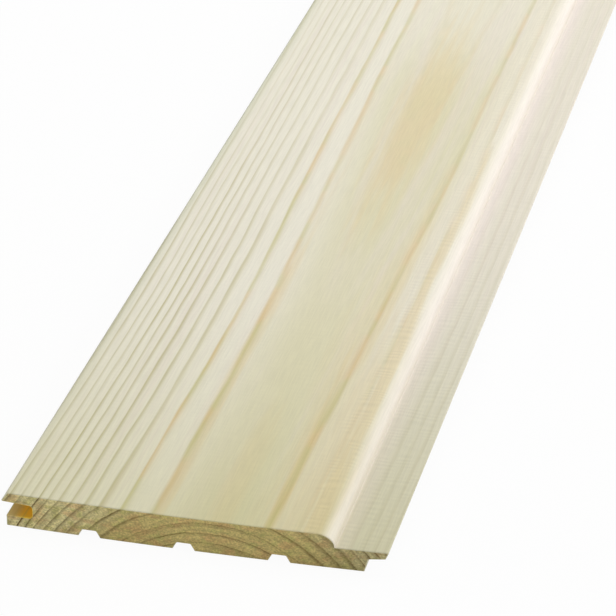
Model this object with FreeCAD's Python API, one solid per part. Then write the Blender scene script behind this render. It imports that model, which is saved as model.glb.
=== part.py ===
import FreeCAD, Part
import math
import os

from FreeCAD import Vector

# Softwood panelling board, planed to one section over its whole length.
# X runs across the board from the groove to the tongue, Y runs along it, and Z goes up from the back to the face.
# The origin is in the middle of the back, halfway between the two edges. All sizes are in millimetres.

# The board as a whole
LENGTH = 2000.0                  # between the two sawn ends
WIDTH = 146.0                    # from the tip of the face lip to the tip of the tongue
THICKNESS = 14.0                 # from the back to the face

# Tongue edge
SHELF_DEPTH = 5.1                # from the face down to the shelf, which is also the top of the tongue
SHELF_WIDTH = 19.7               # from the foot of the nose to the tip of the tongue
NOSE_RUN = 7.0                   # width over which the rounded nose comes down from the face
TONGUE_LENGTH = 7.4              # from the root to the tip
TONGUE_ROOT_THICKNESS = 3.6
TONGUE_TIP_THICKNESS = 2.9
LEAD_IN_WIDTH = 1.0              # bevel on the tip's lower edge
LEAD_IN_HEIGHT = 2.3
SHOULDER_UNDERCUT = 1.4          # the shoulder under the tongue slopes back this far on its way down

# Groove edge, sized to take the tongue of a like board
CLEARANCE_OVER_TONGUE = 0.6
CLEARANCE_UNDER_TONGUE = 0.8
CLEARANCE_BEFORE_TONGUE = 2.6    # left between the tip of the tongue and the end of the groove
GROOVE_FLARE = 0.6               # the groove's roof rises this much from its end to the tip of the face lip
GROOVE_CORNER_RADIUS = 1.2
LIP_OVERHANG = 1.7               # the face lip reaches this far past the back lip
LIP_CHAMFER_WIDTH = 2.4
LIP_CHAMFER_HEIGHT = 3.4

# Relief channels in the back, spaced so that the lands between them are equal
RELIEF_COUNT = 3
RELIEF_MOUTH_WIDTH = 8.4
RELIEF_ROOF_WIDTH = 5.2
RELIEF_DEPTH = 2.8
RELIEF_CORNER_RADIUS = 0.6

# Planed arrises are eased by this radius
ARRIS_RADIUS = 0.3

# A fillet takes at most this share of the shorter straight beside it
FILLET_SHARE_OF_WALL = 0.45

# Heights above the back
shelf_height = THICKNESS - SHELF_DEPTH
root_underside = shelf_height - TONGUE_ROOT_THICKNESS
tip_underside = shelf_height - TONGUE_TIP_THICKNESS
groove_floor = root_underside - CLEARANCE_UNDER_TONGUE
groove_roof = shelf_height + CLEARANCE_OVER_TONGUE
lip_underside = groove_roof + GROOVE_FLARE
lip_chamfer_foot = THICKNESS - LIP_CHAMFER_HEIGHT

# Places across the board
lip_tip = -WIDTH / 2
back_lip_edge = lip_tip + LIP_OVERHANG
groove_end = back_lip_edge + TONGUE_LENGTH + CLEARANCE_BEFORE_TONGUE
tongue_tip = WIDTH / 2
tongue_root = tongue_tip - TONGUE_LENGTH
shoulder_foot = tongue_root - SHOULDER_UNDERCUT
nose_foot = tongue_tip - SHELF_WIDTH
nose_top = nose_foot - NOSE_RUN


def section_point(x, z):
    """A point of the section, in the plane of the near end."""
    return Vector(x, -LENGTH / 2, z)


def groove_edge_corners():
    """Corners from the face, round the face lip and the groove, to the back. Each is x, z and radius."""
    return [
        (lip_tip + LIP_CHAMFER_WIDTH, THICKNESS, ARRIS_RADIUS),
        (lip_tip, lip_chamfer_foot, ARRIS_RADIUS),
        (lip_tip, lip_underside, ARRIS_RADIUS),
        (groove_end, groove_roof, GROOVE_CORNER_RADIUS),
        (groove_end, groove_floor, GROOVE_CORNER_RADIUS),
        (back_lip_edge, groove_floor, ARRIS_RADIUS),
        (back_lip_edge, 0, ARRIS_RADIUS),
    ]


def relief_corners():
    """Corners of the relief channels in the back, from the groove edge towards the tongue edge."""
    back_width = shoulder_foot - back_lip_edge
    land_width = (back_width - RELIEF_COUNT * RELIEF_MOUTH_WIDTH) / (RELIEF_COUNT + 1)
    flank = (RELIEF_MOUTH_WIDTH - RELIEF_ROOF_WIDTH) / 2
    corners = []
    for channel in range(RELIEF_COUNT):
        start = back_lip_edge + land_width + channel * (land_width + RELIEF_MOUTH_WIDTH)
        end = start + RELIEF_MOUTH_WIDTH
        corners += [
            (start, 0, ARRIS_RADIUS),
            (start + flank, RELIEF_DEPTH, RELIEF_CORNER_RADIUS),
            (end - flank, RELIEF_DEPTH, RELIEF_CORNER_RADIUS),
            (end, 0, ARRIS_RADIUS),
        ]
    return corners


def tongue_edge_corners():
    """Corners from the back, up the shoulder and round the tongue, to its upper edge."""
    return [
        (shoulder_foot, 0, ARRIS_RADIUS),
        (tongue_root, root_underside, 0),
        (tongue_tip - LEAD_IN_WIDTH, tip_underside, ARRIS_RADIUS),
        (tongue_tip, tip_underside + LEAD_IN_HEIGHT, ARRIS_RADIUS),
        (tongue_tip, shelf_height, ARRIS_RADIUS),
    ]


def rounded_run(corners):
    """Straight edges through the corners, each corner between the first and the last rounded by its radius."""
    edges = []
    pen = section_point(corners[0][0], corners[0][1])
    for before, here, after in zip(corners, corners[1:], corners[2:]):
        corner = section_point(here[0], here[1])
        back = section_point(before[0], before[1]) - corner
        ahead = section_point(after[0], after[1]) - corner
        half_angle = back.getAngle(ahead) / 2
        longest = FILLET_SHARE_OF_WALL * min(back.Length, ahead.Length)
        trim = min(here[2] / math.tan(half_angle), longest)
        radius = trim * math.tan(half_angle)
        back.normalize()
        ahead.normalize()
        leave = corner + back * trim
        edges.append(Part.LineSegment(pen, leave).toShape())
        pen = leave
        if radius > 0:
            inward = (back + ahead).normalize()
            middle = corner + inward * (radius / math.sin(half_angle) - radius)
            pen = corner + ahead * trim
            edges.append(Part.Arc(leave, middle, pen).toShape())
    edges.append(Part.LineSegment(pen, section_point(corners[-1][0], corners[-1][1])).toShape())
    return edges


def nose_edge():
    """Quarter of an ellipse from the shelf up to the face, upright at its foot and level at its top."""
    centre = section_point(nose_top, shelf_height)
    foot = section_point(nose_foot, shelf_height)
    top = section_point(nose_top, THICKNESS)
    if NOSE_RUN >= SHELF_DEPTH:
        ellipse = Part.Ellipse(foot, top, centre)
    else:
        ellipse = Part.Ellipse(top, foot, centre)
    return Part.ArcOfEllipse(ellipse, 0, math.pi / 2).toShape()


def board():
    """The whole board: its section, run from the near end to the far end."""
    corners = [(nose_top, THICKNESS, 0)]
    corners += groove_edge_corners()
    corners += relief_corners()
    corners += tongue_edge_corners()
    corners += [(nose_foot, shelf_height, 0)]
    outline = Part.Wire(rounded_run(corners) + [nose_edge()])
    return Part.Face(outline).extrude(Vector(0, LENGTH, 0))


os.makedirs("parts", exist_ok=True)
board().exportStep("parts/tongue_and_groove_board.step")
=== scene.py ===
import math

import bpy
from bpy.props import FloatProperty, FloatVectorProperty, IntProperty, PointerProperty
from mathutils import Matrix, Vector


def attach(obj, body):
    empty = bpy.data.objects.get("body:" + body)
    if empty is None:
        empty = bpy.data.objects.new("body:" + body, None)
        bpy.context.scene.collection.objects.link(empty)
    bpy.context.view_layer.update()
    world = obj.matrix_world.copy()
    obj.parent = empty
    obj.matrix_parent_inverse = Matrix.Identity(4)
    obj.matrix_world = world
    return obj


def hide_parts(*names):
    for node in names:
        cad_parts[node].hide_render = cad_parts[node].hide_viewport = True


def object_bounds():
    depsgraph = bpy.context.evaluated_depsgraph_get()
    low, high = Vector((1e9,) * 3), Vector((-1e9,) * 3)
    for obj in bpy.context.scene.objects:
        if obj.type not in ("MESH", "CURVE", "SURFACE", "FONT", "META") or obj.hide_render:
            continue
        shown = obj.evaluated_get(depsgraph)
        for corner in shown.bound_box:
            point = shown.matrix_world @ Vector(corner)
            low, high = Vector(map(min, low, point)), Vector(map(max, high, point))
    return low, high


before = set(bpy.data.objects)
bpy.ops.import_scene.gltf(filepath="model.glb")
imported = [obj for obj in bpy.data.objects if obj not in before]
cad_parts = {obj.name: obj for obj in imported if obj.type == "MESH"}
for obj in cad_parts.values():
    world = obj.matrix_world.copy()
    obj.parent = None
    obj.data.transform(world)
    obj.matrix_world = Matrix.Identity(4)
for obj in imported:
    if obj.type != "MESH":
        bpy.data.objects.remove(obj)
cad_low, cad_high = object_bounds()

bl_info = {
    "name": "Tongue and Groove Board",
    "version": (1, 0, 0),
    "blender": (4, 5, 0),
    "location": "View3D > Sidebar > Panelling",
    "description": "Dresses a moulded softwood panelling board in planed wood and sets it in a studio",
    "category": "Add Mesh",
}

# The board lies in the frame of its CAD model: X across from the groove to the tongue, Y along it, and Z up
# to the face. Blender's lengths are metres. The patterns in the wood are worked out in millimetres, the unit
# that a joiner uses.
MM = 0.001
PER_METRE = 1000.0
NODE = "tongue_and_groove_board"
cad_size = cad_high - cad_low


# Properties

def length_property(name, description, default):
    """A length in metres that shows in the scene's own unit."""
    return FloatProperty(name=name, description=description, default=default, min=0.0,
                         unit="LENGTH", precision=5)


def linear(channel):
    """A picture's 0 to 255 channel as linear light, by the upper part of the sRGB curve."""
    return ((channel / 255 + 0.055) / 1.055) ** 2.4


def colour_property(name, description, *channels):
    """A colour written as the 0 to 255 numbers of a picture, and kept as linear light."""
    return FloatVectorProperty(name=name, description=description, default=[linear(c) for c in channels],
                               size=3, min=0.0, max=1.0, subtype="COLOR")


def power_property(name, description, default):
    """A lamp's power in watts."""
    return FloatProperty(name=name, description=description, default=default, min=0.0, unit="POWER")


class BoardSettings(bpy.types.PropertyGroup):
    """Sizes of the board and its section."""

    length: length_property("Length", "Between the two sawn ends", cad_size.y)
    width: length_property("Width", "From the tip of the face lip to the tip of the tongue", cad_size.x)
    thickness: length_property("Thickness", "From the back to the face", cad_size.z)
    shelf_depth: length_property("Shelf depth", "From the face down to the top of the tongue", 5.1 * MM)
    shelf_width: length_property("Shelf width", "From the nose's foot to the tongue's tip", 19.7 * MM)
    nose_run: length_property("Nose run", "Width over which the rounded nose comes down", 7.0 * MM)
    tongue_length: length_property("Tongue length", "From the root to the tip", 7.4 * MM)
    tongue_root: length_property("Tongue root", "Thickness of the tongue at its root", 3.6 * MM)
    tongue_tip: length_property("Tongue tip", "Thickness of the tongue before its bevel", 2.9 * MM)
    lead_in_width: length_property("Lead-in width", "Width of the bevel under the tongue's tip", 1.0 * MM)
    lead_in_height: length_property("Lead-in height", "Height of the bevel under the tongue's tip", 2.3 * MM)
    undercut: length_property("Shoulder undercut", "How far the shoulder slopes back", 1.4 * MM)
    play_over: length_property("Play over tongue", "Room in the groove above a tongue", 0.6 * MM)
    play_under: length_property("Play under tongue", "Room in the groove below a tongue", 0.8 * MM)
    play_before: length_property("Play before tongue", "From a tongue's tip to the groove's end", 2.6 * MM)
    groove_flare: length_property("Groove flare", "Rise of the groove's roof to its mouth", 0.6 * MM)
    groove_radius: length_property("Groove radius", "Rounding of the groove's inner corners", 1.2 * MM)
    lip_overhang: length_property("Lip overhang", "Reach of the face lip past the back lip", 1.7 * MM)
    chamfer_width: length_property("Chamfer width", "Width of the chamfer on the face lip", 2.4 * MM)
    chamfer_height: length_property("Chamfer height", "Height of the chamfer on the face lip", 3.4 * MM)
    relief_count: IntProperty(name="Relief channels", description="Channels in the back", default=3, min=0)
    relief_mouth: length_property("Relief mouth", "Width of a relief channel at the back", 8.4 * MM)
    relief_roof: length_property("Relief roof", "Width of a relief channel at its roof", 5.2 * MM)
    relief_depth: length_property("Relief depth", "Depth of a relief channel", 2.8 * MM)
    relief_radius: length_property("Relief radius", "Rounding of a relief channel's roof", 0.6 * MM)
    arris_radius: length_property("Arris radius", "Easing of the planed edges", 0.3 * MM)
    end_ease: length_property("End ease", "Easing of the edges round the two sawn ends", 0.28 * MM)
    cup: length_property("Cup", "How far drying has lifted the edges above the middle", 0.9 * MM)


class WoodSettings(bpy.types.PropertyGroup):
    """Colours of the softwood, and of the painted highlight, shade and bounce light laid on it."""

    sapwood: colour_property("Sapwood", "Early growth on the planed faces", 234, 229, 211)
    # Painted shade: the planed faces drawn darker and yellower towards the sawn ends
    end_painted_shade: colour_property("End tint", "Warm tint of the planed faces near the sawn ends", 239, 239, 220)
    heartwood: colour_property("Heartwood", "Early growth nearer to the heart", 219, 213, 178)
    tongue_tint: colour_property("Tongue tint", "Tint of the tongue's upper side", 249, 247, 247)
    # Painted highlight on the nose and on the shelf beside it
    painted_highlight: colour_property("Burnished", "Paler wood where knives have pressed the nose", 241, 231, 225)
    # Painted shade on the tongue's side near the ends, and a darker, greener tint at the lip's tip
    darker_tint: colour_property("Dulled", "Tint of the lip's tip and the tongue's ends", 230, 234, 222)
    blush: colour_property("Blush", "Bands of warmer growth that follow the rings", 228, 218, 203)
    latewood: colour_property("Latewood", "Late growth in the sapwood", 178, 167, 106)
    heart_latewood: colour_property("Heart latewood", "Late growth in the heartwood", 193, 184, 115)
    warm_latewood: colour_property("Warm latewood", "The same where resin has warmed it", 211, 180, 117)
    resin: colour_property("Resin", "Peach stains where resin has spread", 223, 202, 150)
    # Painted warm bounce light in the groove, deepest inside, and the mouth's colour below
    groove: colour_property("Groove", "Wood deep in the groove", 255, 214, 82)
    groove_mouth: colour_property("Groove mouth", "Wood at the mouth of the groove", 226, 205, 142)
    sawn_sapwood: colour_property("Sawn sapwood", "Early sapwood on the sawn ends", 228, 216, 158)
    sawn_heartwood: colour_property("Sawn heartwood", "Early heartwood on the sawn ends", 210, 192, 125)
    sawn_blush: colour_property("Sawn blush", "Redder patches on the sawn ends", 206, 164, 112)
    sawn_olive: colour_property("Sawn olive", "Greener patches on the sawn ends", 196, 190, 116)
    sawn_latewood: colour_property("Sawn latewood", "Late growth on the sawn ends", 102, 78, 32)


class StageSettings(bpy.types.PropertyGroup):
    """Floor and light."""

    floor_colour: colour_property("Floor", "Colour of the floor", 240, 240, 238)
    sky: FloatProperty(name="Sky", description="Strength of the light from all round", default=0.26, min=0.0)
    overhead: power_property("Overhead", "Power of the softbox over the board", 13.0)
    side: power_property("Side", "Power of the softbox beside the tongue edge", 33.0)
    back: power_property("Back", "Power of the softbox behind the board", 42.0)
    front: power_property("Front", "Power of the softbox before the near end", 7.5)
    far: power_property("Far", "Power of the softbox over the far end", 1.8)


# Node trees

class Sheet:
    """A node tree that is being filled in. An input takes a plain value or another node's output."""

    def __init__(self, tree):
        self.tree = tree

    def fill(self, node, inputs):
        """Fills a node's inputs, each given by its name or number."""
        for key, value in inputs.items():
            if isinstance(value, bpy.types.NodeSocket):
                self.tree.links.new(value, node.inputs[key])
            else:
                node.inputs[key].default_value = value

    def put(self, kind, inputs=None, **settings):
        """Adds a node with its settings and inputs."""
        node = self.tree.nodes.new(kind)
        for name, value in settings.items():
            setattr(node, name, value)
        self.fill(node, inputs or {})
        return node

    def maths(self, operation, first, second=0.0):
        """The result of a Math node."""
        return self.put("ShaderNodeMath", {0: first, 1: second}, operation=operation).outputs[0]

    def weighed(self, first, first_share, second, second_share):
        """The sum of two values, each by its share."""
        return self.maths("ADD", self.maths("MULTIPLY", first, first_share),
                          self.maths("MULTIPLY", second, second_share))

    def hypotenuse(self, first, second):
        """The distance that two distances at right angles make."""
        squares = self.maths("ADD", self.maths("MULTIPLY", first, first),
                             self.maths("MULTIPLY", second, second))
        return self.maths("SQRT", squares)

    def vector(self, x=0.0, y=0.0, z=0.0):
        """A vector put together from three values."""
        return self.put("ShaderNodeCombineXYZ", {"X": x, "Y": y, "Z": z}).outputs[0]

    def axes(self, vector):
        """A vector's values along X, Y and Z."""
        return self.put("ShaderNodeSeparateXYZ", {0: vector}).outputs

    def blend(self, share, first, second, how="MIX"):
        """Two colours mixed by a share."""
        inputs = {0: share, 6: first, 7: second}
        return self.put("ShaderNodeMix", inputs, data_type="RGBA", blend_type=how).outputs[2]

    def shaded(self, colour, share):
        """A colour made darker or lighter by a share of itself."""
        grey = self.put("ShaderNodeCombineColor", {0: share, 1: share, 2: share}).outputs[0]
        return self.blend(1.0, colour, grey, "MULTIPLY")

    def ramp(self, value, start, end, low=0.0, high=1.0):
        """A value brought smoothly from the range start to end into the range low to high."""
        inputs = {"Value": value, "From Min": start, "From Max": end, "To Min": low, "To Max": high}
        return self.put("ShaderNodeMapRange", inputs, interpolation_type="SMOOTHSTEP").outputs[0]

    def curve(self, value, points, handle="AUTO_CLAMPED"):
        """A value read off a curve drawn through the points."""
        node = self.put("ShaderNodeFloatCurve", {"Value": value})
        node.mapping.use_clip = False
        drawn = node.mapping.curves[0]
        for place, (x, y) in zip(drawn.points, (points[0], points[-1])):
            place.location = (x, y)
        for x, y in points[1:-1]:
            drawn.points.new(x, y)
        for place in drawn.points:
            place.handle_type = handle
        node.mapping.update()
        return node.outputs[0]

    def noise(self, place, cell, detail=2.0):
        """Noise from 0 to 1 whose patches are about cell across, in the units of place."""
        scaled = self.put("ShaderNodeVectorMath", {0: place, 1: cell}, operation="DIVIDE").outputs[0]
        return self.put("ShaderNodeTexNoise", {"Vector": scaled, "Scale": 1.0, "Detail": detail}).outputs[0]

    def sway(self, place, cell, reach, detail=2.0):
        """Noise that swings about nought, seldom further than half of reach."""
        inputs = {0: self.noise(place, cell, detail), 1: reach, 2: -reach / 2}
        return self.put("ShaderNodeMath", inputs, operation="MULTIPLY_ADD").outputs[0]

    def bump(self, height, relief):
        """A surface's direction with a height drawn on it, where 1 stands for a relief in metres."""
        return self.put("ShaderNodeBump", {"Height": height, "Strength": 1.0, "Distance": relief}).outputs[0]

    def attribute(self, name):
        """A value that a geometry's points carry under a name."""
        return self.put("GeometryNodeInputNamedAttribute", {"Name": name}, data_type="FLOAT").outputs[0]

    def capture(self, geometry, kind, name, value):
        """Keeps a value on a geometry's points, and gives the geometry and the kept value."""
        node = self.put("GeometryNodeCaptureAttribute", domain="POINT")
        node.capture_items.new(kind, name)
        self.fill(node, {"Geometry": geometry, name: value})
        return node.outputs["Geometry"], node.outputs[name]


def new_group(name, kind, inputs, outputs):
    """An empty node group with named sockets, and its input and output nodes."""
    tree = bpy.data.node_groups.new(name, kind)
    for socket, (socket_type, default) in inputs.items():
        item = tree.interface.new_socket(name=socket, in_out="INPUT", socket_type=socket_type)
        if default is not None:
            item.default_value = default
    for socket, socket_type in outputs.items():
        tree.interface.new_socket(name=socket, in_out="OUTPUT", socket_type=socket_type)
    return tree, tree.nodes.new("NodeGroupInput"), tree.nodes.new("NodeGroupOutput")


def emptied(owner):
    """The node tree of a material or a world, emptied, as a sheet to fill in."""
    owner.use_nodes = True
    owner.node_tree.nodes.clear()
    return Sheet(owner.node_tree)


def opaque(colour):
    """A colour socket's four numbers."""
    return (*colour, 1.0)


# Wood in numbers

# Places are in millimetres: across from the middle of the board, along from the near end, and out from the
# heart of the tree. A table gives places and the value at each. A ramp is where it starts, where it ends, and
# the values there if they aren't 0 and 1. A cell is the size of a noise's patches across, along and up.

# The heart of the tree lies below the board: along, and its place across and its height over the back
HEART_ACROSS = ((0, 6.9), (160, 9.4), (330, 8.4), (500, 7.3), (1000, 10.5), (1500, 5.0), (2000, 9.0))
HEART_HEIGHT = ((0, -41.3), (80, -41.2), (160, -40.9), (290, -39.7), (420, -38.9), (520, -38.2),
                (1000, -35.0), (1500, -31.5), (2000, -28.0))

# Each year's ring: how far out its dark late growth ends, and how dark it is
RINGS = ((10.0, 0.5), (15.0, 0.6), (20.0, 0.5), (25.0, 0.7), (29.6, 0.6), (33.7, 0.6), (37.8, 0.6),
         (41.9, 0.7), (46.0, 0.7), (50.1, 0.75), (54.3, 0.6), (60.6, 0.7), (65.6, 0.8), (70.1, 0.6),
         (73.7, 0.75), (77.2, 0.8), (80.5, 0.75), (83.3, 0.75), (86.1, 1.0), (89.0, 0.4), (91.5, 0.65),
         (95.0, 0.7), (98.0, 0.6), (101.0, 0.5), (105.0, 0.5))

# Rings stray from true circles in waves, each by its cell and its reach
SLOW_WAVE = ((60.0, 400.0, 60.0), 0.9)
QUICK_WAVES = (((9.0, 80.0, 9.0), 1.0), ((3.0, 30.0, 3.0), 0.5))

# A ring's darkness is uneven
UNEVEN_CELL = (9.0, 70.0, 9.0)
UNEVEN = (0.3, 0.7, 0.75, 1.08)

# By the share of its year that is gone, wood darkens slowly, is full late growth, and is pale again
HAZE_SEASON = (0.35, 0.85)
LATE_FULL = 0.86
YEAR_STOPS = (0.84, 0.96, 1.0, 0.0)

# Late growth starts later in the wide years over the heart: across, and the share of the year gone
LATE_FROM = ((-73, 0.5), (-32, 0.52), (-20, 0.66), (0, 0.7), (30, 0.68), (37, 0.6), (46, 0.42), (73, 0.4))

# The heartwood's colour follows the slow wave further than its rings do, and leans across
HEART_WAVER = 8.0
HEART_LEAN = -0.07

# Bands that follow the rings, by a cell out, along and across, and fine streaks along the board
BAND_CELL = (1.8, 260.0, 30.0)
FIBRE_CELL = (0.5, 14.0, 0.5)
FINE_DETAIL = 3.0

# How much of the slow darkening and of the late growth shows on the planed faces
PLANED_HAZE = 0.2
PLANED_LATE = 0.6

# The share of that which is left: across, along and out. The few wide rings over the heart stand out more.
LATE_ACROSS = ((-73, 1.0), (20, 1.0), (30, 0.9), (35, 0.8), (40, 0.3), (43, 0.3), (54, 0.3), (58, 0.28),
               (73, 0.32))
LATE_ALONG = ((0, 1.0), (150, 1.0), (260, 0.75), (410, 0.5), (600, 0.5), (1000, 0.8), (1600, 0.7),
              (2000, 1.0))
LATE_BY_RING = ((0, 0.3), (55, 0.3), (57.5, 1.1), (61, 1.2), (64, 1.2), (66, 1.2), (69.5, 1.1), (73, 1.0),
                (110, 1.0))

# Rings this far out fade less along the board, and their late growth is the heartwood's, warm in patches
HEART_LINES_KEPT = (70.0, 64.5, 0.0, 0.9)
HEART_LATEWOOD = (70.0, 66.0)
WARM_CELL = (16.0, 34.0, 16.0)
WARM_PATCHES = (0.42, 0.58)

# The heartwood's early growth: how far out it goes, and along, how far its colour shows
HEART_EDGE = (62.0, 54.5)
HEART_SHOWN = ((0, 1.0), (370, 1.0), (490, 0.25), (700, 0.3), (1200, 0.4), (2000, 0.35))

# How strongly the bands redden early growth
BLUSH_BANDS = (0.45, 0.75, 0.0, 0.5)

# Resin stains: the middle across and along, half the width and half the length, and the strength
STAINS = (
    (36.0, 20.0, 16.0, 210.0, 0.3),
    (7.5, 365.0, 15.0, 140.0, 0.45),
    (10.0, 20.0, 7.0, 80.0, 0.25),
    (41.0, 30.0, 13.0, 180.0, 0.4),
    (30.0, 140.0, 14.0, 110.0, 0.2),
    (42.0, 340.0, 11.0, 340.0, 0.12),
    (46.0, 120.0, 3.6, 330.0, 0.55),
    (-12.5, 100.0, 3.5, 190.0, 0.4),
    (28.5, 40.0, 4.0, 120.0, 0.65),
    (33.5, 200.0, 4.5, 120.0, 0.45),
    (44.5, 20.0, 4.5, 120.0, 0.65),
    (8.0, 900.0, 10.0, 160.0, 0.4),
    (-20.0, 1350.0, 9.0, 120.0, 0.35),
    (20.0, 1650.0, 12.0, 140.0, 0.4),
)

# A stain's edge, as shares of its half width and length, and how ragged it is
STAIN_EDGE = (0.3, 1.1)
RAGGED_CELL = (3.0, 70.0, 3.0)
RAGGED_REACH = 1.2

# The planer's knives leave ripples across the board, this far apart, which drift and come in patches
KNIFE_PITCH = 3.3
KNIFE_DRIFT = ((40.0, 12.0, 40.0), 18.0, 0.0)
KNIFE_CELL = (4.0, 8.0, 4.0)
KNIFE_PATCHES = (0.35, 0.65)

# How deep the ripples are across the board, and the share of that along it
KNIFE_DEPTH = ((-73, 0.1), (30, 0.1), (38, 0.2), (43, 0.55), (47, 0.55), (50, 0.1), (53, 0.1), (56, 0.4),
               (73, 0.35))
KNIFE_WEAR = ((0, 1.0), (150, 0.9), (300, 0.5), (500, 0.4), (1000, 0.8), (1500, 0.5), (2000, 1.0))

# Painted highlight across the nose and the shelf beside it, where the wood is also glossier
NOSE_HIGHLIGHT_SPREAD = ((-73, 0.0), (48, 0.0), (50, 0.3), (51.5, 0.5), (53.3, 0.6), (54.5, 0.6), (56.5, 0.5),
                (58.5, 0.25), (61, 0.0), (73, 0.0))

# How strong the painted shade of the ends is along the board, and how much of it the highlit nose takes
END_SHADE_REACH = ((0, 1.0), (100, 0.35), (200, 0.0), (1800, 0.0), (2000, 0.5))
NOSE_SPARED = (0.0, 0.5, 1.0, 0.5)

# Where the tongue's upper side starts, across, and how strong its painted shade is along the board
SHELF_EDGE = (53.0, 55.0)
SHELF_PAINTED_SHADE = ((0, 0.5), (60, 0.5), (150, 0.35), (260, 0.05), (400, 0.0), (1800, 0.0), (2000, 0.3))

# How much darker and greener the face lip is towards its tip, and how much of that is left under the ends'
# painted shade
LIP_DARKENING = ((-73, 1.0), (-70.5, 0.9), (-69.5, 0.6), (-68, 0.25), (-66, 0.0), (73, 0.0))
LIP_SPARED = (0.0, 1.0, 1.0, 0.2)

# How light fibres and ripples make the planed faces, how rough they are, and the height that they give
FIBRE_SHADE = (0.25, 0.75, 0.95, 1.03)
# The ripples' light and dark is painted shade, laid beside their small real relief
RIPPLE_PAINTED_SHADE = (-1.0, 1.0, 0.94, 1.06)
FIBRE_HEIGHT = 0.3
PLANED_RELIEF = 0.03 * MM
PLANED_ROUGHNESS = (0.0, 1.0, 0.5, 0.46)
PLANED_SPECULAR = 0.45

# The groove: how its painted warm bounce light deepens inwards, how much late growth shows, and its roughness
# by the fibres
GROOVE_PAINTED_LIGHT = (0.2, 0.8)
GROOVE_LATE = 0.4
GROOVE_ROUGHNESS = (0.0, 1.0, 0.8, 0.95)
GROOVE_SPECULAR = 0.1

# The sawn ends: how far out the heartwood goes, and the redder and greener patches
SAWN_HEART_EDGE = (74.0, 58.0)
RED_CELL = (8.0, 40.0, 4.0)
RED_PATCHES = (0.45, 0.65, 0.0, 0.5)
OLIVE_CELL = (5.0, 40.0, 3.0)
OLIVE_PATCHES = (0.5, 0.65, 0.0, 0.6)

# How much of the slow darkening and of the late growth shows there, and how crisp the late growth is
SAWN_HAZE = 0.22
SAWN_LATE = 0.9
SAWN_CRISPNESS = 2.0

# Painted shade across the sawn ends, darker towards the tongue, and how light they are by the bands and in
# specks
SAWN_PAINTED_SHADE = ((-73, 1.03), (-55, 1.0), (30, 1.0), (48, 0.88), (58, 0.75), (73, 0.72))
SAWN_BANDS = (0.3, 0.7, 0.85, 1.12)
SPECK_CELL = (0.7, 0.7, 0.5)
SPECKS = (0.25, 0.75, 0.72, 1.22)

# The saw's scratches
SCRATCH_CELL = (0.25, 30.0, 6.0)
SAWN_RELIEF = 0.06 * MM
SAWN_ROUGHNESS = 0.8
SAWN_SPECULAR = 0.25


# Wood

def growth_rings_group():
    """Shader group for the yearly rings, cut wherever a surface cuts them. Lengths are millimetres.
    Haze is the slow darkening through each year and Latewood its dark end. Ring Radius is the distance from
    the heart, and From Heart the same with the heartwood's own wavering. Band is the uneven growth that
    follows the rings, and Fibre the fine streaks along the board."""
    values = ("Haze", "Latewood", "From Heart", "Ring Radius", "Band", "Fibre", "Across", "Along")
    sockets = dict.fromkeys(values, "NodeSocketFloat")
    sockets["Place"] = "NodeSocketVector"
    tree, _, result = new_group("Growth Rings", "ShaderNodeTree", {}, sockets)
    sheet = Sheet(tree)
    metres = sheet.put("ShaderNodeTexCoord").outputs["Object"]
    place = sheet.put("ShaderNodeVectorMath", {0: metres, "Scale": PER_METRE}, operation="SCALE").outputs[0]
    axes = sheet.axes(place)
    along = sheet.maths("SUBTRACT", axes["Y"], cad_low.y * PER_METRE)
    across = sheet.maths("SUBTRACT", axes["X"], sheet.curve(along, HEART_ACROSS, "AUTO"))
    height = sheet.maths("SUBTRACT", axes["Z"], sheet.curve(along, HEART_HEIGHT, "AUTO"))
    slow = sheet.sway(place, *SLOW_WAVE)
    radius = sheet.maths("ADD", sheet.hypotenuse(across, height), slow)
    for wave in QUICK_WAVES:
        radius = sheet.maths("ADD", radius, sheet.sway(place, *wave))

    # How far through its year the wood is, and how dark that year ends
    years = sheet.curve(radius, [(end, year) for year, (end, _) in enumerate(RINGS)], "VECTOR")
    season = sheet.maths("FRACT", years)
    uneven = sheet.ramp(sheet.noise(place, UNEVEN_CELL), *UNEVEN)
    strength = sheet.maths("MULTIPLY", sheet.curve(radius, RINGS, "VECTOR"), uneven)
    strength = sheet.maths("MULTIPLY", strength, sheet.ramp(season, *YEAR_STOPS))
    late_from = sheet.curve(axes["X"], LATE_FROM)

    # Places unrolled along the rings
    unrolled = sheet.vector(radius, along, across)
    sheet.fill(result, {
        "Haze": sheet.maths("MULTIPLY", sheet.ramp(season, *HAZE_SEASON), strength),
        "Latewood": sheet.maths("MULTIPLY", sheet.ramp(season, late_from, LATE_FULL), strength),
        "From Heart": sheet.maths("ADD", radius, sheet.weighed(slow, HEART_WAVER, across, HEART_LEAN)),
        "Ring Radius": radius,
        "Band": sheet.noise(unrolled, BAND_CELL, FINE_DETAIL),
        "Fibre": sheet.noise(place, FIBRE_CELL, FINE_DETAIL),
        "Across": axes["X"],
        "Along": along,
        "Place": place,
    })
    return tree


def wood_material(name, rings):
    """A material with a Principled BSDF and the growth rings, as a sheet to fill in."""
    material = bpy.data.materials.new(name)
    sheet = emptied(material)
    surface = sheet.put("ShaderNodeBsdfPrincipled")
    sheet.put("ShaderNodeOutputMaterial", {"Surface": surface.outputs[0]})
    grain = sheet.put("ShaderNodeGroup", node_tree=rings).outputs
    return material, sheet, surface, grain


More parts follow.
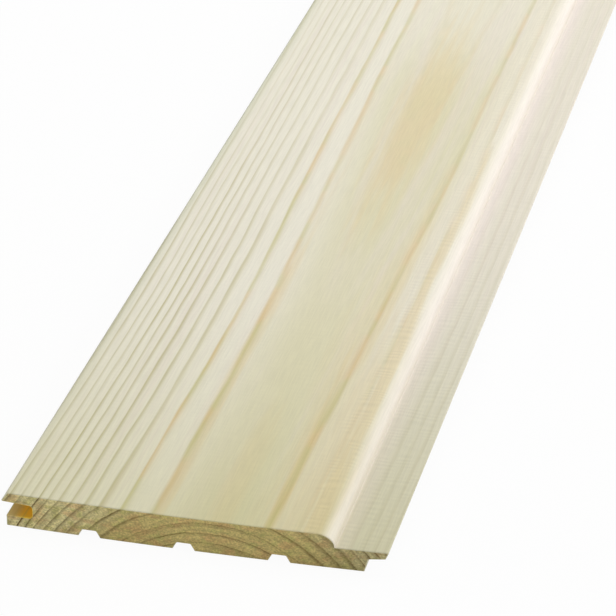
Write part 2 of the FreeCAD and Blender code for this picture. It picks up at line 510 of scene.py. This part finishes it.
def resin_stains(sheet, grain):
    """Share of resin from 0 to 1 over the listed stains, with ragged edges drawn out along the grain."""
    ragged = sheet.maths("SUBTRACT", sheet.noise(grain["Place"], RAGGED_CELL, FINE_DETAIL), 0.5)
    total = 0.0
    for across, along, half_width, half_length, strength in STAINS:
        aside = sheet.maths("DIVIDE", sheet.maths("SUBTRACT", grain["Across"], across), half_width)
        further = sheet.maths("DIVIDE", sheet.maths("SUBTRACT", grain["Along"], along), half_length)
        distance = sheet.hypotenuse(aside, further)
        distance = sheet.maths("ADD", distance, sheet.maths("MULTIPLY", ragged, RAGGED_REACH))
        total = sheet.maths("MAXIMUM", total, sheet.ramp(distance, *STAIN_EDGE, strength, 0.0))
    return total


def early_growth(sheet, grain, wood):
    """Colour of the pale growth of each year, with the heart, the warmer bands and the stains."""
    heart = sheet.maths("MULTIPLY", sheet.ramp(grain["From Heart"], *HEART_EDGE),
                        sheet.curve(grain["Along"], HEART_SHOWN))
    colour = sheet.blend(heart, opaque(wood.sapwood), opaque(wood.heartwood))
    colour = sheet.blend(sheet.ramp(grain["Band"], *BLUSH_BANDS), colour, opaque(wood.blush))
    return sheet.blend(resin_stains(sheet, grain), colour, opaque(wood.resin))


def late_growth(sheet, grain, wood, colour):
    """A colour with the dark lines of late growth laid over it."""
    ring = grain["Ring Radius"]
    warm = sheet.ramp(sheet.noise(grain["Place"], WARM_CELL), *WARM_PATCHES)
    heart_dark = sheet.blend(warm, opaque(wood.heart_latewood), opaque(wood.warm_latewood))
    dark = sheet.blend(sheet.ramp(ring, *HEART_LATEWOOD), opaque(wood.latewood), heart_dark)
    late = sheet.weighed(grain["Haze"], PLANED_HAZE, grain["Latewood"], PLANED_LATE)
    late = sheet.maths("MULTIPLY", late, sheet.curve(grain["Across"], LATE_ACROSS))
    late = sheet.maths("MULTIPLY", late, sheet.curve(ring, LATE_BY_RING))
    fading = sheet.maths("MAXIMUM", sheet.curve(grain["Along"], LATE_ALONG),
                         sheet.ramp(ring, *HEART_LINES_KEPT))
    return sheet.blend(sheet.maths("MULTIPLY", late, fading), colour, dark)


def tinted_with_painted_light(sheet, grain, wood, colour, highlit):
    """A colour with a painted highlight on the nose and the shelf beside it, painted shade towards the sawn
    ends that the nose takes half of, the tongue's side tinted and in painted shade near the ends, and the
    lip's tip darker and greener.
    """
    shelf = sheet.ramp(grain["Across"], *SHELF_EDGE)
    ends = sheet.curve(grain["Along"], END_SHADE_REACH)
    nose = sheet.maths("SUBTRACT", highlit, shelf)
    # Painted shade towards the sawn ends, half as strong on the nose
    warmed = sheet.maths("MULTIPLY", ends, sheet.ramp(nose, *NOSE_SPARED))
    # The lip darker and greener towards its tip, less so where the ends' painted shade lies
    lip = sheet.maths("MULTIPLY", sheet.curve(grain["Across"], LIP_DARKENING), sheet.ramp(ends, *LIP_SPARED))
    # Painted shade on the tongue's side near the ends
    side = sheet.maths("MULTIPLY", shelf, sheet.curve(grain["Along"], SHELF_PAINTED_SHADE))
    darker_tint = sheet.maths("ADD", lip, side)
    # Painted highlight on the nose and on the shelf beside it
    colour = sheet.blend(highlit, colour, opaque(wood.painted_highlight))
    # The ends' painted shade, the tongue's tint, then the lip's darker tint and the painted shade on the
    # tongue's side
    for share, tint in ((warmed, wood.end_painted_shade), (shelf, wood.tongue_tint), (darker_tint, wood.darker_tint)):
        colour = sheet.blend(share, colour, opaque(tint), "MULTIPLY")
    return colour


def knife_ripples(sheet, grain):
    """Height of the ripples that the planer's knives leave, from -1 to 1."""
    turn = sheet.maths("MULTIPLY", grain["Along"], 2 * math.pi / KNIFE_PITCH)
    ripple = sheet.maths("SINE", sheet.maths("ADD", turn, sheet.sway(grain["Place"], *KNIFE_DRIFT)))
    for share in (sheet.ramp(sheet.noise(grain["Place"], KNIFE_CELL), *KNIFE_PATCHES),
                  sheet.curve(grain["Across"], KNIFE_DEPTH),
                  sheet.curve(grain["Along"], KNIFE_WEAR)):
        ripple = sheet.maths("MULTIPLY", ripple, share)
    return ripple


def planed_wood(wood, rings):
    """Material of the long faces, as they leave the planer, with a painted highlight and painted shade on
    them.
    """
    material, sheet, surface, grain = wood_material("planed_softwood", rings)
    # Where the painted highlight lies, which is also where the wood is glossier
    highlit = sheet.curve(grain["Across"], NOSE_HIGHLIGHT_SPREAD)
    ripple = knife_ripples(sheet, grain)
    colour = early_growth(sheet, grain, wood)
    colour = late_growth(sheet, grain, wood, colour)
    colour = tinted_with_painted_light(sheet, grain, wood, colour, highlit)
    colour = sheet.shaded(colour, sheet.ramp(grain["Fibre"], *FIBRE_SHADE))
    # Painted shade along the knife ripples, beside their bump
    colour = sheet.shaded(colour, sheet.ramp(ripple, *RIPPLE_PAINTED_SHADE))
    height = sheet.weighed(ripple, 1.0, grain["Fibre"], FIBRE_HEIGHT)
    sheet.fill(surface, {
        "Base Color": colour,
        "Roughness": sheet.ramp(highlit, *PLANED_ROUGHNESS),
        "Specular IOR Level": PLANED_SPECULAR,
        "Normal": sheet.bump(height, PLANED_RELIEF),
    })
    return material


def grooved_wood_painted_light(wood, rings):
    """Material of the groove, whose colour is painted warm bounce light that deepens the further in it is."""
    material, sheet, surface, grain = wood_material("grooved_softwood", rings)
    depth = sheet.put("ShaderNodeAttribute", attribute_name="groove_depth").outputs["Fac"]
    # Painted warm bounce light, from the mouth's colour to a deeper one inside
    colour = sheet.blend(sheet.ramp(depth, *GROOVE_PAINTED_LIGHT), opaque(wood.groove_mouth), opaque(wood.groove))
    late = sheet.maths("MULTIPLY", grain["Latewood"], GROOVE_LATE)
    sheet.fill(surface, {
        "Base Color": sheet.blend(late, colour, opaque(wood.heart_latewood)),
        "Roughness": sheet.ramp(grain["Fibre"], *GROOVE_ROUGHNESS),
        "Specular IOR Level": GROOVE_SPECULAR,
    })
    return material


def sawn_wood(wood, rings):
    """Material of the two ends, as the saw leaves them, with painted shade across them."""
    material, sheet, surface, grain = wood_material("sawn_softwood", rings)
    place = grain["Place"]
    heart = sheet.ramp(grain["From Heart"], *SAWN_HEART_EDGE)
    red = sheet.ramp(sheet.noise(place, RED_CELL), *RED_PATCHES)
    olive = sheet.ramp(sheet.noise(place, OLIVE_CELL), *OLIVE_PATCHES)
    crisp = sheet.maths("POWER", grain["Latewood"], SAWN_CRISPNESS)
    late = sheet.weighed(grain["Haze"], SAWN_HAZE, crisp, SAWN_LATE)
    colour = opaque(wood.sawn_sapwood)
    for share, tint in ((heart, wood.sawn_heartwood), (red, wood.sawn_blush), (olive, wood.sawn_olive),
                        (late, wood.sawn_latewood)):
        colour = sheet.blend(share, colour, opaque(tint))
    # Painted shade across the end, darker towards the tongue, then the bands and the specks
    for shade in (sheet.curve(grain["Across"], SAWN_PAINTED_SHADE),
                  sheet.ramp(grain["Band"], *SAWN_BANDS),
                  sheet.ramp(sheet.noise(place, SPECK_CELL, FINE_DETAIL), *SPECKS)):
        colour = sheet.shaded(colour, shade)
    sheet.fill(surface, {
        "Base Color": colour,
        "Roughness": SAWN_ROUGHNESS,
        "Specular IOR Level": SAWN_SPECULAR,
        "Normal": sheet.bump(sheet.noise(place, SCRATCH_CELL), SAWN_RELIEF),
    })
    return material


# Board

# How deep in the groove a point of the section is, from 0 to 1, and from where a face counts as the groove's
OUTSIDE = 0.0
IN_GROOVE = 1.0
GROOVE_FROM = 0.05

# Points of the section: the longest flat stretch, the steps round the nose and the points on a rounded corner
SECTION_STEP = 6.0 * MM
NOSE_STEPS = 24
CORNER_POINTS = 6

# Sections from end to end, the two sawn ends among them
STATIONS = 101

# The sharpest edge that is shaded smooth, and how squarely a face has to look along the board to be an end
SHARPEST_SMOOTH = math.radians(8)
END_FACING = 0.9


def section_corners(board):
    """The section's corners from the top of the nose, round the groove, back and tongue, to the nose's foot.
    Each is x, z, the radius it is rounded by and how deep in the groove it is. The nose itself follows in
    section_mesh."""
    lip_tip = -board.width / 2
    tongue_end = board.width / 2
    back_lip = lip_tip + board.lip_overhang
    groove_end = back_lip + board.tongue_length + board.play_before
    root = tongue_end - board.tongue_length
    shoulder_foot = root - board.undercut
    nose_foot = tongue_end - board.shelf_width
    shelf = board.thickness - board.shelf_depth
    root_underside = shelf - board.tongue_root
    tip_underside = shelf - board.tongue_tip
    groove_floor = root_underside - board.play_under
    groove_roof = shelf + board.play_over
    arris = board.arris_radius
    corners = [
        (nose_foot - board.nose_run, board.thickness, 0.0),
        (lip_tip + board.chamfer_width, board.thickness, arris),
        (lip_tip, board.thickness - board.chamfer_height, arris),
        (lip_tip, groove_roof + board.groove_flare, arris),
        (groove_end, groove_roof, board.groove_radius, IN_GROOVE),
        (groove_end, groove_floor, board.groove_radius, IN_GROOVE),
        (back_lip, groove_floor, arris),
        (back_lip, 0.0, arris),
    ]
    land = (shoulder_foot - back_lip - board.relief_count * board.relief_mouth) / (board.relief_count + 1)
    flank = (board.relief_mouth - board.relief_roof) / 2
    for channel in range(board.relief_count):
        start = back_lip + land + channel * (land + board.relief_mouth)
        end = start + board.relief_mouth
        corners += [
            (start, 0.0, arris),
            (start + flank, board.relief_depth, board.relief_radius),
            (end - flank, board.relief_depth, board.relief_radius),
            (end, 0.0, arris),
        ]
    corners += [
        (shoulder_foot, 0.0, arris),
        (root, root_underside, 0.0),
        (tongue_end - board.lead_in_width, tip_underside, arris),
        (tongue_end, tip_underside + board.lead_in_height, arris),
        (tongue_end, shelf, arris),
        (nose_foot, shelf, 0.0),
    ]
    return [(*corner, OUTSIDE)[:4] for corner in corners]


def section_mesh(board):
    """The section as a closed line of edges in the XY plane, with each point's rounding and its depth in the
    groove kept as attributes. Curve to Mesh turns the section's Y axis downwards, so heights are drawn as
    -Y."""
    corners = section_corners(board)
    points = []
    for here, after in zip(corners, corners[1:]):
        points.append(here)
        parts = int(math.hypot(after[0] - here[0], after[1] - here[1]) / SECTION_STEP)
        for part in range(1, parts):
            share = part / parts
            x, z, _, depth = (a + share * (b - a) for a, b in zip(here, after))
            points.append((x, z, 0.0, depth))
    points.append(corners[-1])
    foot_x, shelf = corners[-1][:2]
    for step in range(1, NOSE_STEPS):
        turn = math.pi / 2 * step / NOSE_STEPS
        inward = board.nose_run * (1 - math.cos(turn))
        points.append((foot_x - inward, shelf + board.shelf_depth * math.sin(turn), 0.0, OUTSIDE))
    mesh = bpy.data.meshes.new("board_section")
    edges = [(index, (index + 1) % len(points)) for index in range(len(points))]
    mesh.from_pydata([(x, -z, 0.0) for x, z, _, _ in points], edges, [])
    radii = mesh.attributes.new("corner_radius", "FLOAT", "POINT")
    radii.data.foreach_set("value", [radius for _, _, radius, _ in points])
    depths = mesh.attributes.new("groove_depth", "FLOAT", "POINT")
    depths.data.foreach_set("value", [depth for _, _, _, depth in points])
    return mesh


def rounded_section(sheet, given):
    """The section as a curve with rounded corners, and at each point the direction into the wood."""
    outline = sheet.put("GeometryNodeMeshToCurve", {0: given["Section"]}).outputs[0]
    corners = {"Curve": outline, "Radius": sheet.attribute("corner_radius"), "Count": given["Corner Points"],
               "Limit Radius": True}
    outline = sheet.put("GeometryNodeFilletCurve", corners, mode="POLY").outputs[0]
    return sheet.capture(outline, "VECTOR", "Inward", sheet.put("GeometryNodeInputNormal").outputs[0])


def numbered_line(sheet, given, half):
    """The straight line that the section runs along, and the number of each of its stations."""
    ends = {"Start": sheet.vector(y=sheet.maths("MULTIPLY", half, -1.0)), "End": sheet.vector(y=half)}
    line = sheet.put("GeometryNodeCurvePrimitiveLine", ends).outputs[0]
    line = sheet.put("GeometryNodeResampleCurve", {"Curve": line, "Count": given["Stations"]}).outputs[0]
    return sheet.capture(line, "INT", "Station", sheet.put("GeometryNodeInputIndex").outputs[0])


def eased_ends(sheet, given, swept, half, station, inward):
    """Draws in the edges round the sawn ends. Stations are counted from the nearer end: 0 is the sawn end
    itself, and 1 is moved to where the easing starts."""
    last = sheet.maths("SUBTRACT", given["Stations"], 1)
    from_end = sheet.maths("MINIMUM", station, sheet.maths("SUBTRACT", last, station))
    ease = sheet.maths("MULTIPLY", given["End Ease"], sheet.maths("LESS_THAN", from_end, 0.5))
    drop = sheet.maths("MULTIPLY", ease, -1.0)
    inward = sheet.axes(inward)
    drawn_in = sheet.vector(x=sheet.maths("MULTIPLY", inward["X"], ease),
                            z=sheet.maths("MULTIPLY", inward["Y"], drop))
    swept = sheet.put("GeometryNodeSetPosition", {"Geometry": swept, "Offset": drawn_in}).outputs[0]
    axes = sheet.axes(sheet.put("GeometryNodeInputPosition").outputs[0])
    start = sheet.maths("MULTIPLY", sheet.maths("SIGN", axes["Y"]),
                        sheet.maths("SUBTRACT", half, given["End Ease"]))
    moved = {"Geometry": swept, "Selection": sheet.maths("COMPARE", from_end, 1.0),
             "Position": sheet.vector(axes["X"], start, axes["Z"])}
    return sheet.put("GeometryNodeSetPosition", moved).outputs[0]


def cupped(sheet, given, swept):
    """Lifts the two long edges, because drying has pulled the board hollow across its face."""
    across = sheet.axes(sheet.put("GeometryNodeInputPosition").outputs[0])["X"]
    share = sheet.maths("DIVIDE", across, sheet.maths("MULTIPLY", given["Width"], 0.5))
    lift = sheet.maths("MULTIPLY", sheet.maths("MULTIPLY", share, share), given["Cup"])
    lifted = {"Geometry": swept, "Offset": sheet.vector(z=lift)}
    return sheet.put("GeometryNodeSetPosition", lifted).outputs[0]


def smoothed(sheet, swept):
    """Shades round stretches smooth, and leaves a clean edge where flat faces meet."""
    angle = sheet.put("GeometryNodeInputMeshEdgeAngle").outputs["Unsigned Angle"]
    sharp = {"Selection": sheet.maths("GREATER_THAN", angle, SHARPEST_SMOOTH), "Shade Smooth": False}
    swept = sheet.put("GeometryNodeSetShadeSmooth", {"Geometry": swept, "Shade Smooth": True}).outputs[0]
    return sheet.put("GeometryNodeSetShadeSmooth", {"Geometry": swept, **sharp}, domain="EDGE").outputs[0]


def finished(sheet, given, swept):
    """Gives every face its wood: planed, and over that the groove's and the sawn ends'."""
    in_groove = sheet.maths("GREATER_THAN", sheet.attribute("groove_depth"), GROOVE_FROM)
    facing = sheet.axes(sheet.put("GeometryNodeInputNormal").outputs[0])["Y"]
    is_end = sheet.maths("GREATER_THAN", sheet.maths("ABSOLUTE", facing), END_FACING)
    swept = sheet.put("GeometryNodeRealizeInstances", {"Geometry": swept}).outputs[0]
    for chosen, finish in ((True, "Planed Faces"), (in_groove, "Groove"), (is_end, "Sawn Ends")):
        inputs = {"Geometry": swept, "Selection": chosen, "Material": given[finish]}
        swept = sheet.put("GeometryNodeSetMaterial", inputs).outputs[0]
    return swept


def sweep_tree():
    """Geometry Nodes tree that rounds the section, runs it along the board, eases its ends and cups it."""
    inputs = {
        "Section": ("NodeSocketGeometry", None),
        "Length": ("NodeSocketFloat", cad_size.y),
        "Width": ("NodeSocketFloat", cad_size.x),
        "Cup": ("NodeSocketFloat", 0.0),
        "End Ease": ("NodeSocketFloat", 0.0),
        "Stations": ("NodeSocketInt", STATIONS),
        "Corner Points": ("NodeSocketInt", CORNER_POINTS),
        "Planed Faces": ("NodeSocketMaterial", None),
        "Groove": ("NodeSocketMaterial", None),
        "Sawn Ends": ("NodeSocketMaterial", None),
    }
    outputs = {"Board": "NodeSocketGeometry"}
    tree, given, result = new_group("Moulded Board", "GeometryNodeTree", inputs, outputs)
    sheet = Sheet(tree)
    given = given.outputs
    half = sheet.maths("MULTIPLY", given["Length"], 0.5)
    section, inward = rounded_section(sheet, given)
    line, station = numbered_line(sheet, given, half)
    sweep = {"Curve": line, "Profile Curve": section, "Fill Caps": True}
    swept = sheet.put("GeometryNodeCurveToMesh", sweep).outputs[0]

    # The section runs the way round that leaves the faces looking inwards, so they are turned over
    swept = sheet.put("GeometryNodeFlipFaces", {"Mesh": swept}).outputs[0]
    swept = eased_ends(sheet, given, swept, half, station, inward)
    swept = cupped(sheet, given, swept)
    swept = smoothed(sheet, swept)
    sheet.fill(result, {"Board": finished(sheet, given, swept)})
    return tree


def plain_mesh(name, source, tree, values):
    """Runs a Geometry Nodes tree on a mesh, and returns an object with the finished mesh and no modifier."""
    made = bpy.data.objects.new(name, source)
    bpy.context.scene.collection.objects.link(made)
    modifier = made.modifiers.new("shape", "NODES")
    modifier.node_group = tree
    for item in tree.interface.items_tree:
        if item.item_type == "SOCKET" and item.in_out == "INPUT" and item.name in values:
            modifier[item.identifier] = values[item.name]
    shaped = made.evaluated_get(bpy.context.evaluated_depsgraph_get())
    mesh = bpy.data.meshes.new_from_object(shaped)
    made.modifiers.clear()
    made.data = mesh
    mesh.name = name
    return made


class PANELLING_OT_board(bpy.types.Operator):
    """Make the moulded board and its wood"""

    bl_idname = "panelling.board"
    bl_label = "Board"

    def execute(self, context):
        board = context.scene.panelling_board
        wood = context.scene.panelling_wood
        rings = growth_rings_group()
        piece = plain_mesh("planed_board", section_mesh(board), sweep_tree(), {
            "Length": board.length,
            "Width": board.width,
            "Cup": board.cup,
            "End Ease": board.end_ease,
            "Stations": STATIONS,
            "Corner Points": CORNER_POINTS,
            "Planed Faces": planed_wood(wood, rings),
            "Groove": grooved_wood_painted_light(wood, rings),
            "Sawn Ends": sawn_wood(wood, rings),
        })
        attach(piece, "root")
        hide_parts(NODE)
        return {"FINISHED"}


# Stage

# The camera, fitted to the near end and the long edges in the photograph's square frame of pixels. It is
# turned and tilted from the board's length, and sees the foot of the near end's middle at AIM_PIXEL.
PICTURE_SIDE = 616
AIM_PIXEL = (192.80, 551.22)
FOCAL_PIXELS = 3266.5
SENSOR_WIDTH = 36.0
CAMERA_TURN = math.radians(13.605)
CAMERA_TILT = math.radians(27.82)
CAMERA_DISTANCE = 1.1938
FARTHEST_SEEN = 100.0

# Softboxes, in metres: the setting with its power, its place, the point it shines at, and its two sides
SOFTBOXES = (
    ("overhead", (0.1, -0.3, 1.1), (0.0, -0.3, 0.0), (1.4, 2.8)),
    ("side", (2.6, -0.8, 1.5), (0.0, -0.85, 0.0), (3.0, 1.4)),
    ("back", (2.0, 3.6, 1.3), (0.05, -1.0, 0.0), (4.0, 3.0)),
    ("front", (-0.6, -3.0, 0.9), (0.0, -1.0, 0.0), (2.0, 1.5)),
    ("far", (0.0, 1.0, 0.8), (0.0, 1.25, 0.0), (1.0, 0.6)),
)

# The floor lies a hair below the board's back, and glows by this share where it is seen directly
FLOOR_SIDE = 40.0
FLOOR_HEIGHT = -0.05 * MM
FLOOR_GLOW = 0.95


def make_camera():
    """The camera at the photograph's place."""
    aim = Vector((0.0, cad_low.y, cad_low.z))
    level = math.cos(CAMERA_TILT)
    forward = Vector((-math.sin(CAMERA_TURN) * level, math.cos(CAMERA_TURN) * level, -math.sin(CAMERA_TILT)))
    right = Vector((math.cos(CAMERA_TURN), math.sin(CAMERA_TURN), 0.0))
    up = right.cross(forward)
    metres_per_pixel = CAMERA_DISTANCE / FOCAL_PIXELS
    left_of_centre = (PICTURE_SIDE / 2 - AIM_PIXEL[0]) * metres_per_pixel
    below_centre = (AIM_PIXEL[1] - PICTURE_SIDE / 2) * metres_per_pixel
    data = bpy.data.cameras.new("camera")
    data.sensor_width = SENSOR_WIDTH
    data.lens = FOCAL_PIXELS * SENSOR_WIDTH / PICTURE_SIDE
    data.clip_end = FARTHEST_SEEN
    camera = bpy.data.objects.new("camera", data)
    camera.matrix_world = Matrix((right, up, -forward)).transposed().to_4x4()
    camera.location = aim - CAMERA_DISTANCE * forward + left_of_centre * right + below_centre * up
    bpy.context.scene.collection.objects.link(camera)
    bpy.context.scene.camera = camera


def make_softbox(name, place, towards, size, power):
    """A rectangular lamp that shines at a point and isn't seen itself."""
    data = bpy.data.lights.new(name, "AREA")
    data.shape = "RECTANGLE"
    data.size, data.size_y = size
    data.energy = power
    lamp = bpy.data.objects.new(name, data)
    lamp.location = place
    lamp.rotation_mode = "QUATERNION"
    lamp.rotation_quaternion = (Vector(towards) - Vector(place)).to_track_quat("-Z", "Y")
    lamp.visible_camera = False
    bpy.context.scene.collection.objects.link(lamp)


def seen_directly(sheet):
    """1 for rays that come straight from the camera or by way of a gloss or glass, and else 0."""
    ray = sheet.put("ShaderNodeLightPath").outputs
    seen = sheet.maths("MAXIMUM", ray["Is Camera Ray"], ray["Is Glossy Ray"])
    return sheet.maths("MAXIMUM", seen, ray["Is Transmission Ray"])


def make_world(stage):
    """Even light from all round, with a white background."""
    world = bpy.data.worlds.new("studio")
    sheet = emptied(world)
    strength = sheet.ramp(seen_directly(sheet), 0.0, 1.0, stage.sky, 1.0)
    background = sheet.put("ShaderNodeBackground", {"Color": (1.0, 1.0, 1.0, 1.0), "Strength": strength})
    sheet.put("ShaderNodeOutputWorld", {"Surface": background.outputs[0]})
    bpy.context.scene.world = world


def make_floor(stage):
    """A pale floor that looks white and still takes the board's shadow."""
    half = FLOOR_SIDE / 2
    mesh = bpy.data.meshes.new("floor")
    corners = [(x, y, FLOOR_HEIGHT) for x, y in ((-half, -half), (half, -half), (half, half), (-half, half))]
    mesh.from_pydata(corners, [], [(0, 1, 2, 3)])
    material = bpy.data.materials.new("floor")
    sheet = emptied(material)
    matt = sheet.put("ShaderNodeBsdfDiffuse", {"Color": opaque(stage.floor_colour)})
    glow = sheet.put("ShaderNodeEmission", {"Strength": 1.0})
    share = sheet.maths("MULTIPLY", seen_directly(sheet), FLOOR_GLOW)
    both = sheet.put("ShaderNodeMixShader", {0: share, 1: matt.outputs[0], 2: glow.outputs[0]})
    sheet.put("ShaderNodeOutputMaterial", {"Surface": both.outputs[0]})
    mesh.materials.append(material)
    floor = bpy.data.objects.new("floor", mesh)
    bpy.context.scene.collection.objects.link(floor)


class PANELLING_OT_stage(bpy.types.Operator):
    """Set up the floor, the light and the camera"""

    bl_idname = "panelling.stage"
    bl_label = "Stage"

    def execute(self, context):
        stage = context.scene.panelling_stage
        make_floor(stage)
        make_world(stage)
        for name, place, towards, size in SOFTBOXES:
            make_softbox(name, place, towards, size, getattr(stage, name))
        make_camera()
        context.scene.view_settings.view_transform = "Standard"
        return {"FINISHED"}


# Add-on

class PANELLING_PT_sidebar(bpy.types.Panel):
    """Sizes, colours and buttons of the board"""

    bl_label = "Tongue and Groove Board"
    bl_space_type = "VIEW_3D"
    bl_region_type = "UI"
    bl_category = "Panelling"

    def draw(self, context):
        scene = context.scene
        for operator, settings in ((PANELLING_OT_board, (scene.panelling_board, scene.panelling_wood)),
                                   (PANELLING_OT_stage, (scene.panelling_stage,))):
            box = self.layout.box()
            for group in settings:
                for name in group.__annotations__:
                    box.prop(group, name)
            box.operator(operator.bl_idname)


SETTINGS = {
    "panelling_board": BoardSettings,
    "panelling_wood": WoodSettings,
    "panelling_stage": StageSettings,
}
CLASSES = (*SETTINGS.values(), PANELLING_OT_board, PANELLING_OT_stage, PANELLING_PT_sidebar)


def register():
    for each in CLASSES:
        bpy.utils.register_class(each)
    for name, group in SETTINGS.items():
        setattr(bpy.types.Scene, name, PointerProperty(type=group))


def unregister():
    for name in SETTINGS:
        delattr(bpy.types.Scene, name)
    for each in reversed(CLASSES):
        bpy.utils.unregister_class(each)


def main():
    register()
    bpy.ops.panelling.board()
    bpy.ops.panelling.stage()


if __name__ == "__main__":
    main()
